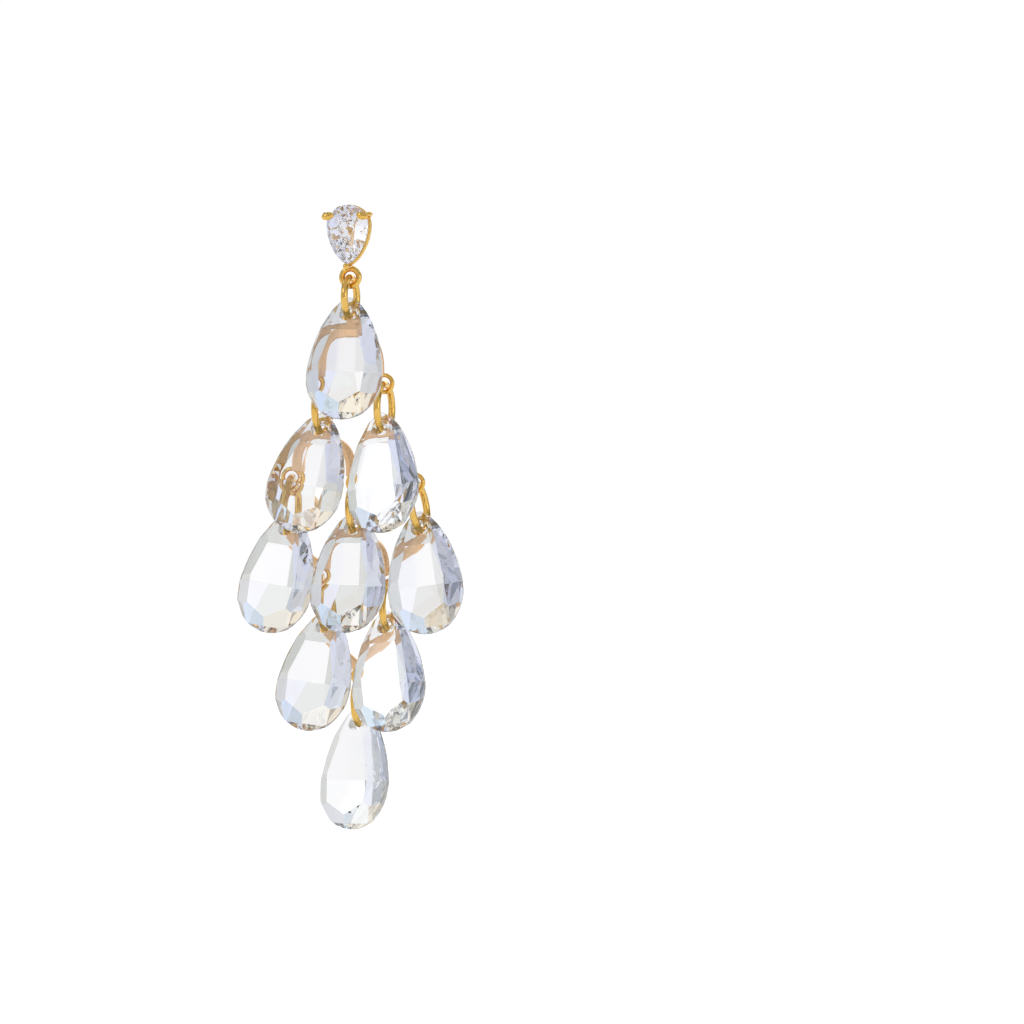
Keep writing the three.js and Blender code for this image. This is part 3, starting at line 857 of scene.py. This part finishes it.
class EARRING_OT_setting(bpy.types.Operator):
    """Makes the stud's setting: plate, rail, three claws, ear post and the ring below."""

    bl_idname = "earring.setting"
    bl_label = "Stud setting"

    def execute(self, context):
        s = context.scene.earring_metal
        low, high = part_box("stud_stone")
        width, height = high.x - low.x, high.z - low.z
        centre = high.z - (1 - s.widest) * height

        def outline(grow):
            flat = pear(width + 2 * grow, height + 2 * grow, s.widest)
            lift = -s.widest * (height + 2 * grow)
            return np.stack([flat[:, 0], np.zeros(len(flat)), lift - flat[:, 1] + centre], axis=-1)

        rail_inner = s.rail_wall - s.rail_proud
        rail_rise = rail_inner * math.tan(s.pavilion) + s.stone_gap / math.cos(s.pavilion)
        rail_front = -s.girdle_depth + s.girdle / 2 + rail_rise
        rail_back = rail_front + s.rail_height
        inner, outer = outline(-rail_inner), outline(s.rail_proud)
        section = band_section(1.0, 1.0)
        across = section[None, :, 0, None] + 0.5
        rows = inner[:, None, :] * (1 - across) + outer[:, None, :] * across
        rows[:, :, 1] = (rail_front + rail_back) / 2 + s.rail_height * section[None, :, 1]
        rail = skin(rows, True)
        shells = [rail, self.plate(outline(0), centre)]

        slope = s.crown
        low_end = (1 - s.widest) * height
        upper = np.array([width / 2 * math.cos(s.claw_angle), low_end * math.sin(s.claw_angle)])
        point = np.array([0.0, -s.widest * height])
        for spot, tip_turn, inside, long, wide in (
            (upper, -s.claw_rise, s.claw_in, s.claw_tip, s.claw_wide),
            (upper * [-1, 1], s.claw_rise, s.claw_in, s.claw_tip, s.claw_wide),
            (point, 0.0, -s.point_out, s.point_tip, s.point_tip),
        ):
            spread = math.hypot(long * math.sin(slope), s.claw_depth * math.cos(slope))
            reach = (spread + s.stone_gap + inside * math.sin(slope)) / math.cos(slope)
            tip_y = -s.girdle_depth - s.girdle / 2 - reach
            away = spot / np.linalg.norm(spot)
            beside = spot + away * (s.stone_gap + s.claw_radius)
            over = spot - away * inside
            root = spot * s.plate_share * CLAW_ROOT
            knots = np.array(
                [
                    [root[0], -s.plate / 2, root[1] + centre],
                    [spot[0], rail_back, spot[1] + centre],
                    [beside[0], -s.girdle_depth, beside[1] + centre],
                    [over[0], tip_y, over[1] + centre],
                ]
            )
            path = catmull(knots, steps=12)
            across = np.array([away[1], 0.0, -away[0]])
            shells.append(carried(path, across, round_section(s.claw_radius)))
            level, rise = math.cos(tip_turn), math.sin(tip_turn)
            axes = np.array([[level, 0.0, rise], [0.0, 1.0, 0.0], [-rise, 0.0, level]])
            shells.append(ball(knots[-1], [long, s.claw_depth, wide], axes))

        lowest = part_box("stud_setting")[0].z
        ring_z = lowest + s.stud_ring + s.stud_wire / 2
        ring_at = np.array([0.0, -s.stud_ring_depth, ring_z])
        across, up = np.array([1.0, 0, 0]), np.array([0, 0, 1.0])
        shells.append(torus(ring_at, across, up, s.stud_ring, s.stud_wire))
        shells.append(self.post())
        piece("polished_stud_setting", [shells], "stud_setting", [wire_gold()])
        return {"FINISHED"}

    def plate(self, line, centre):
        """The plate behind the stone: its outline drawn in to a share, with a rounded rim."""
        s = bpy.context.scene.earring_metal
        t = np.linspace(0, np.pi, 9)
        edge = s.plate / 2
        shares = s.plate_share - (1 - np.sin(t)) * PLATE_RIM
        depth = -edge - edge * np.cos(t)
        middle = np.array([0.0, 0.0, centre])
        rows = middle + (line - middle)[None] * shares[:, None, None]
        rows[:, :, 1] = depth[:, None]
        return skin(rows, False)

    def post(self):
        """The ear post: a straight round pin with a half-round end."""
        s = bpy.context.scene.earring_metal
        r = s.post_radius
        a = np.linspace(0, np.pi / 2, 8)
        shaft = [[-s.plate / 2, r * PIN_ROOT], [-s.plate / 2, r]]
        along = s.post_length - r + r * np.sin(a)
        end = np.stack([along, np.maximum(r * np.cos(a), r * PIN_TIP)], axis=-1)
        profile = np.vstack([shaft, end])
        return turned(profile, np.zeros(3), np.array([0, 1.0, 0]), np.array([1.0, 0, 0]))


class EARRING_PT_panel(bpy.types.Panel):
    """The sidebar's buttons and sizes."""

    bl_idname = "EARRING_PT_panel"
    bl_label = "Chandelier earring"
    bl_space_type = "VIEW_3D"
    bl_region_type = "UI"
    bl_category = "Earring"

    def draw(self, context):
        for operator in OPERATORS:
            self.layout.operator(operator.bl_idname)
        for group in ("earring_metal", "earring_finishes", "earring_studio"):
            owner = getattr(context.scene, group)
            box = self.layout.box()
            for name in owner.__annotations__:
                box.prop(owner, name)


OPERATORS = [
    EARRING_OT_camera,
    EARRING_OT_studio,
    EARRING_OT_crystals,
    EARRING_OT_rings,
    EARRING_OT_connectors,
    EARRING_OT_setting,
]
CLASSES = [MetalSizes, Finishes, Studio, *OPERATORS, EARRING_PT_panel]


def register():
    for cls in CLASSES:
        bpy.utils.register_class(cls)
    bpy.types.Scene.earring_metal = PointerProperty(type=MetalSizes)
    bpy.types.Scene.earring_finishes = PointerProperty(type=Finishes)
    bpy.types.Scene.earring_studio = PointerProperty(type=Studio)


def unregister():
    del bpy.types.Scene.earring_studio
    del bpy.types.Scene.earring_finishes
    del bpy.types.Scene.earring_metal
    for cls in reversed(CLASSES):
        bpy.utils.unregister_class(cls)


def main():
    """Builds the whole earring."""
    register()
    bpy.ops.earring.camera()
    bpy.ops.earring.studio()
    bpy.ops.earring.crystals()
    bpy.ops.earring.rings()
    bpy.ops.earring.connectors()
    bpy.ops.earring.setting()


if __name__ == "__main__":
    main()
